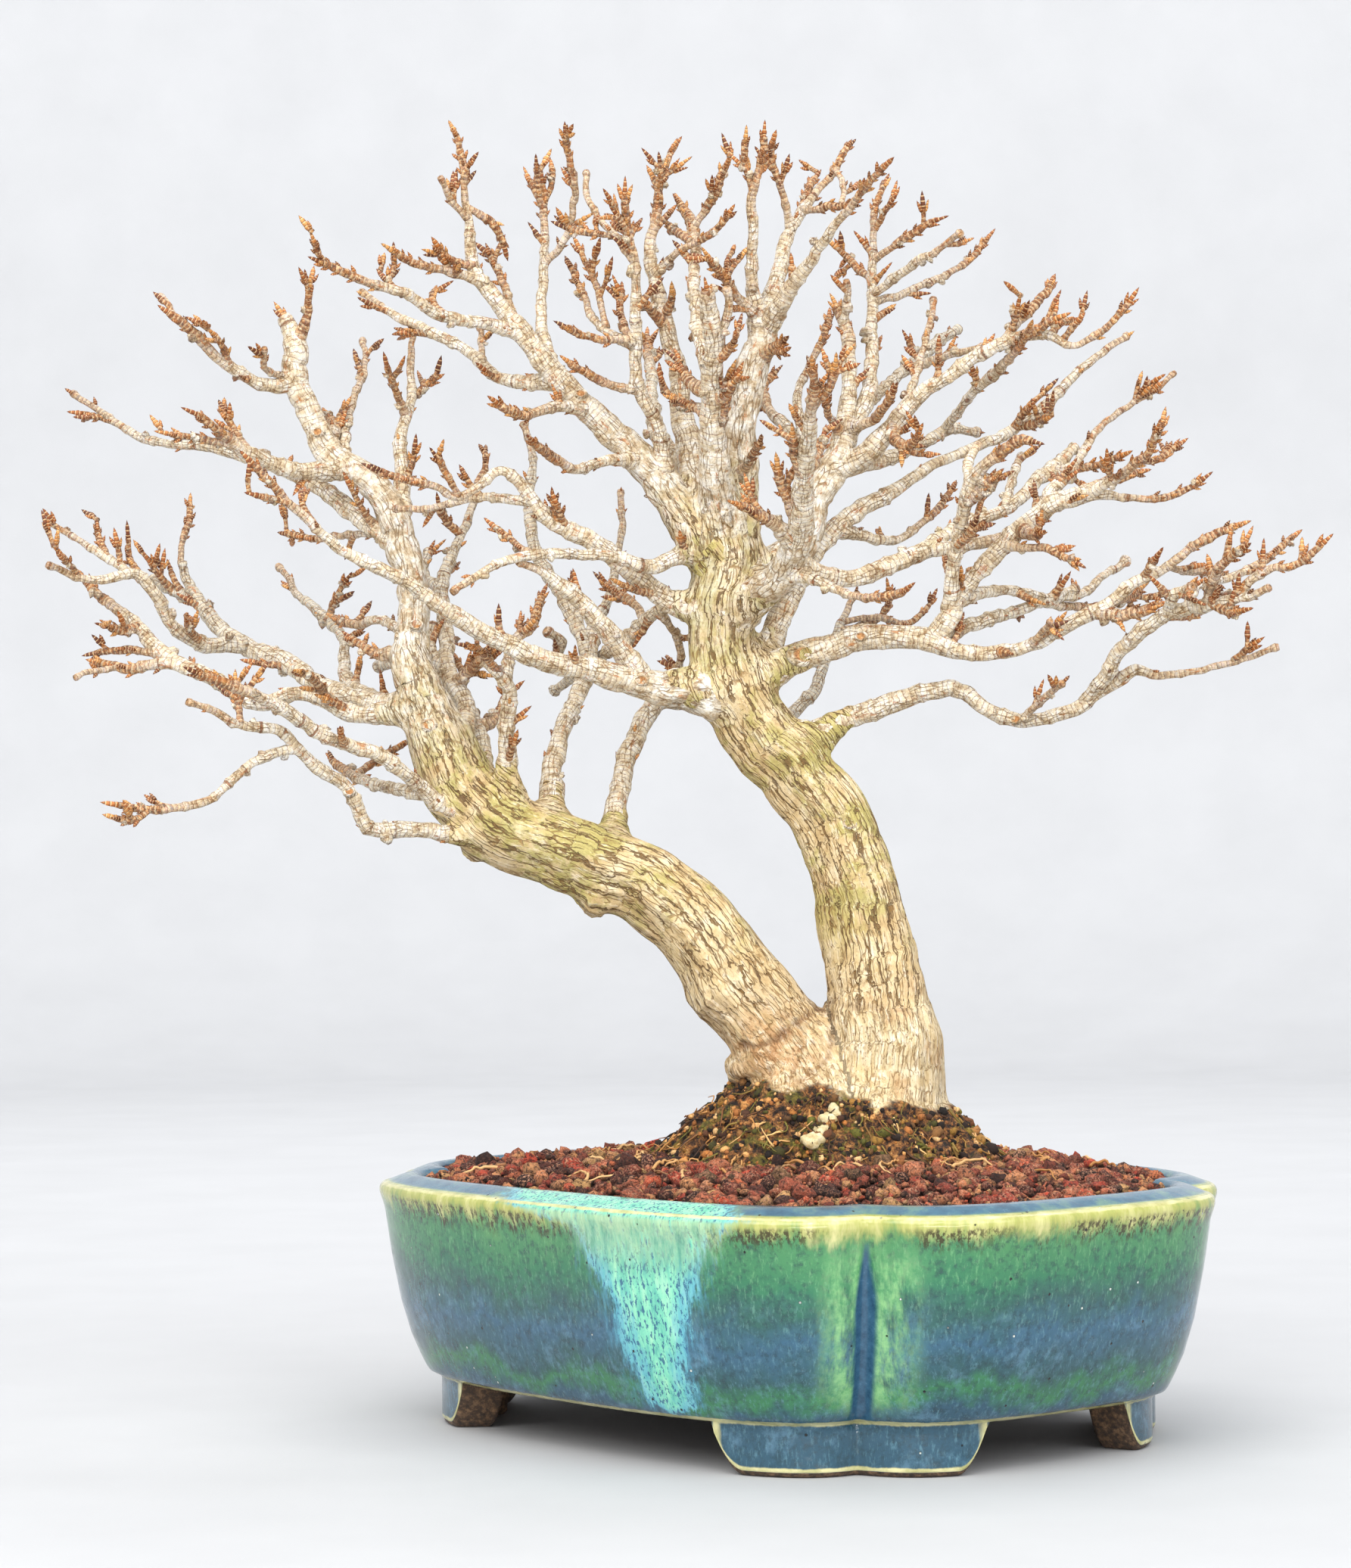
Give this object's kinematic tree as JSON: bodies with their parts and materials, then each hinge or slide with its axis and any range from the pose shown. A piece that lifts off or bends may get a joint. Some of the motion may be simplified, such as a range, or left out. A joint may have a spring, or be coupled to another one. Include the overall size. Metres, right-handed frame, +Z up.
{
  "type": "trident maple bonsai",
  "caption": "Bare twin-trunk maple bonsai with a broad twiggy crown, in a glazed four-lobed pot with soil, drain screens and wire clips.",
  "frame": {"origin": "middle of the whole object's bounding box, on the surface it stands on", "axes": "+Z up the tree, -Y towards the tree's front side, +X to the right of the front view"},
  "size_m": [0.3312, 0.2212, 0.3394],
  "materials": {
    "glazed_stoneware": "glossy glaze, slate blue and teal with green and yellow-green edges",
    "screen_net": "satin",
    "clip_wire": "brown anodised",
    "soil_grit": "dull porous grains",
    "maple_wood": "dry pale bark, reddish buds"
  },
  "bodies": {
    "root": {"pot": "glazed_stoneware", "drain_screen_1": "screen_net", "drain_screen_2": "screen_net", "drain_clip_1": "clip_wire", "drain_clip_2": "clip_wire", "soil": "soil_grit", "tree": "maple_wood"}
  },
  "joints": []
}
